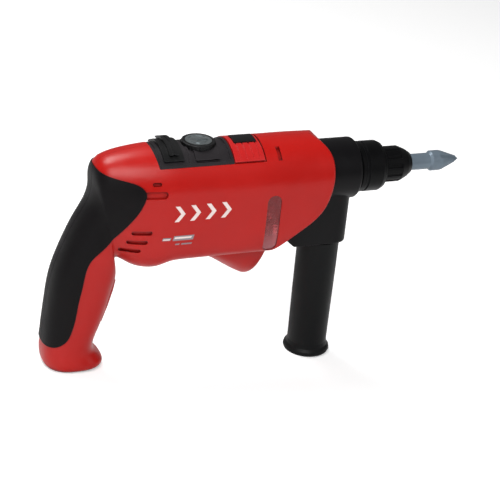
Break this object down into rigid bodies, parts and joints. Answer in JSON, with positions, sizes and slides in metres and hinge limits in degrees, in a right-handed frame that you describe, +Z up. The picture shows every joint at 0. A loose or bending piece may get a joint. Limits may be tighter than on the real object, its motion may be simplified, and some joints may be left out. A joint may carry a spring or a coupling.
{
  "type": "toy power drill",
  "caption": "Toy hammer drill with a pistol grip, straight side handle, geared spindle, chuck with a cross-head bit, trigger, top dial and a bulged battery door.",
  "frame": {"origin": "on the spindle axis, at the front face plane of the collar, where the chuck begins", "axes": "+X forward along the spindle to the bit, +Z up, +Y to the user's left"},
  "size_m": [0.2562, 0.0472, 0.1466],
  "materials": {
    "red_shell": "satin red moulded ABS",
    "red_cover": "slightly pinker red moulded cover with ribs",
    "soft_grip": "satin black soft skin",
    "black_panel": "dark grey textured plastic",
    "black_housing": "satin black moulding",
    "black_handle": "satin black moulding",
    "chuck_black": "satin black moulding",
    "black_button": "matt black",
    "dial_metal": "silver-coated disc",
    "bit_grey": "blue-grey moulded plastic with a slight metallic sheen",
    "clear_window": "clear moulded plastic",
    "steel": "plain steel",
    "motor_steel": "plated steel",
    "white_nylon": "natural nylon",
    "brass": "plain brass",
    "bronze": "sintered bushing",
    "screw_zinc": "zinc-plated screws",
    "red_trigger": "satin red",
    "cell_wrap": "printed film without lettering",
    "holder_black": "plain",
    "board_green": "solder mask",
    "lamp_clear": "clear epoxy",
    "wire_red": "insulated leads",
    "speaker_paper": "speaker with a dark cone"
  },
  "bodies": {
    "housing": {"right_shell": "red_shell", "left_shell": "red_shell", "shell_screws": "screw_zinc", "right_grip_pad": "soft_grip", "left_grip_pad": "soft_grip", "right_light_window": "clear_window", "left_light_window": "clear_window", "switch_panel": "black_panel", "front_top_cover": "red_cover", "front_housing": "black_housing", "motor_can": "motor_steel", "motor_end_cap": "white_nylon", "gear_plate": "steel", "rear_bush": "bronze", "front_bush": "bronze", "trigger_spring": "steel", "trigger_switch": "holder_black", "battery_holder": "holder_black", "contact_plates": "steel", "contact_springs": "steel", "cells": "cell_wrap", "circuit_board": "board_green", "slide_switch": "holder_black", "dial_switch": "holder_black", "button_switch": "holder_black", "loudspeaker": "speaker_paper", "lamps": "lamp_clear", "wires": "wire_red"},
    "spindle_chuck": {"spindle": "steel", "spindle_gear": "white_nylon", "chuck_ring": "chuck_black", "chuck_nose": "chuck_black", "chuck_screw": "screw_zinc"},
    "motor_rotor": {"motor_shaft": "steel", "motor_pinion": "brass"},
    "bit": {"driver_bit": "bit_grey"},
    "trigger_paddle": {"trigger": "red_trigger"},
    "slider": {"direction_slider": "black_button"},
    "dial": {"mode_dial": "black_button", "dial_cap": "dial_metal"},
    "button": {"sound_button": "black_button"},
    "door": {"battery_door": "red_shell", "door_screw": "screw_zinc"},
    "side_handle": {"side_handle_grip": "black_handle", "side_handle_peg": "black_handle", "side_handle_screw": "screw_zinc", "side_handle_cap": "black_handle"}
  },
  "joints": [
    {"name": "spindle_spin", "type": "hinge", "parent": "housing", "child": "spindle_chuck", "pos_m": [0, 0, 0], "axis": [1, 0, 0], "continuous": true},
    {"name": "motor_spin", "type": "hinge", "parent": "housing", "child": "motor_rotor", "pos_m": [-0.06, 0, -0.016], "axis": [1, 0, 0], "continuous": true},
    {"name": "bit_pull", "type": "slide", "parent": "spindle_chuck", "child": "bit", "axis": [1, 0, 0], "range_m": [0, 0.024]},
    {"name": "trigger_pull", "type": "slide", "parent": "housing", "child": "trigger_paddle", "axis": [-1, 0, 0], "range_m": [0, 0.003], "stiffness_N_per_m": 300, "springref_m": -0.003, "deforming": ["trigger_spring"]},
    {"name": "direction_slide", "type": "slide", "parent": "housing", "child": "slider", "axis": [1, 0, 0], "range_m": [-0.0024, 0.0024]},
    {"name": "dial_turn", "type": "hinge", "parent": "housing", "child": "dial", "pos_m": [-0.0985, 0, 0.0215], "axis": [0, 0, 1], "range_deg": [-60, 60]},
    {"name": "button_press", "type": "slide", "parent": "housing", "child": "button", "axis": [0, 0, -1], "range_m": [0, 0.0012], "stiffness_N_per_m": 400, "springref_m": -0.001},
    {"name": "door_lift", "type": "slide", "parent": "housing", "child": "door", "axis": [0, 0, -1], "range_m": [0, 0.025]},
    {"name": "side_handle_twist", "type": "hinge", "parent": "housing", "child": "side_handle", "pos_m": [-0.0164, 0, -0.08], "axis": [0, 0, 1], "range_deg": [0, 90]}
  ],
  "couplings": [
    {"joint": "motor_spin", "follows": "spindle_spin", "ratio": -3}
  ]
}
